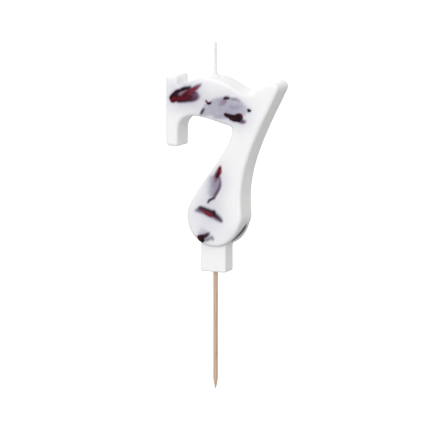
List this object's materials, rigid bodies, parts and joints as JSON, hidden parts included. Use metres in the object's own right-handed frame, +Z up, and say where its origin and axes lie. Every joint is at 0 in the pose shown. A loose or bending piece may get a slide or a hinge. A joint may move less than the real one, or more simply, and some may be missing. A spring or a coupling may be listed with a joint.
{
  "type": "number birthday candle",
  "caption": "Numeral seven cast in white wax with dried red petals in its skin, a cotton wick on its crest and a wooden pick below that pushes into a cake",
  "frame": {"origin": "centre of the pick's exit from the flat underside of the peg", "axes": "X across the numeral to the right, -Y towards the viewer of the front face, Z up along the pick"},
  "size_m": [0.0562, 0.0114, 0.158],
  "materials": {
    "wax": "satin white cast wax, slightly translucent",
    "cotton": "braided cotton primed with wax",
    "birch": "bare birch, fine lengthwise grain",
    "dried_petal": "dried dark crimson petal, matt"
  },
  "bodies": {
    "root": {"wax_numeral": "wax", "cotton_wick": "cotton", "wooden_pick": "birch", "petal_serif": "dried_petal", "petal_arm_chip": "dried_petal", "petal_arm_veil": "dried_petal", "petal_arm_folded": "dried_petal", "petal_arm_speck": "dried_petal", "petal_stem": "dried_petal", "petal_bowl": "dried_petal", "petal_foot": "dried_petal", "petal_wall_right": "dried_petal", "petal_wall_left": "dried_petal", "petal_back_serif": "dried_petal", "petal_back_arm": "dried_petal", "petal_back_horn": "dried_petal", "petal_back_stem": "dried_petal", "petal_back_bowl": "dried_petal", "petal_back_foot": "dried_petal"}
  },
  "joints": []
}
